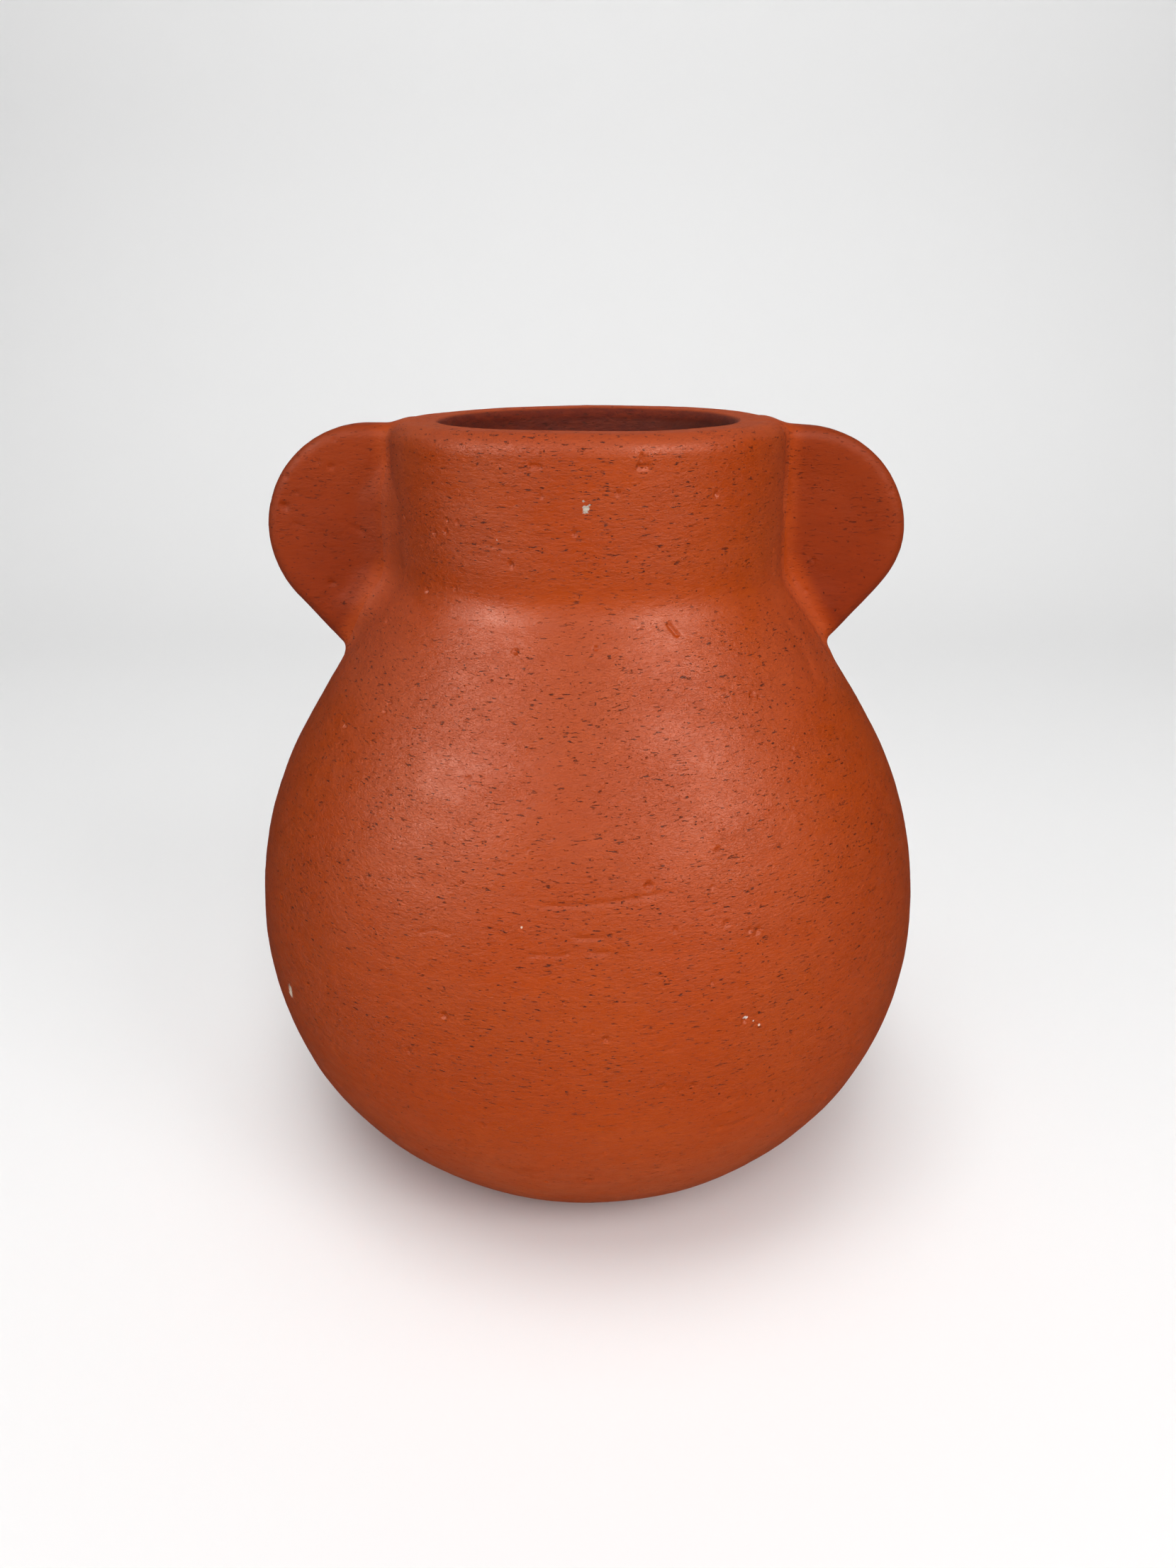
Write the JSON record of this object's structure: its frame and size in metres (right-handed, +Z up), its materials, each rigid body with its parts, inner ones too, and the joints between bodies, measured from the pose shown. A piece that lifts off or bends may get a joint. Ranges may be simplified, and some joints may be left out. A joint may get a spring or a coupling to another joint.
{
  "type": "amphora",
  "caption": "Round-bellied terracotta amphora jar with a short wide neck, a thick rounded lip, an open mouth and solid ear-shaped lugs high on the shoulder.",
  "frame": {"origin": "centre of the flat base, on the surface that the jar stands on", "axes": "+Z up along the jar's axis, +X towards the right lug, -Y towards the viewer"},
  "size_m": [0.25, 0.25, 0.28],
  "materials": {
    "terracotta": "matte",
    "terracotta_red": "matte"
  },
  "bodies": {
    "root": {"base_slab": "terracotta", "lower_body": "terracotta", "upper_body": "terracotta", "shoulder": "terracotta", "neck": "terracotta", "lip": "terracotta", "left_lug": "terracotta_red", "right_lug": "terracotta_red"}
  },
  "joints": []
}
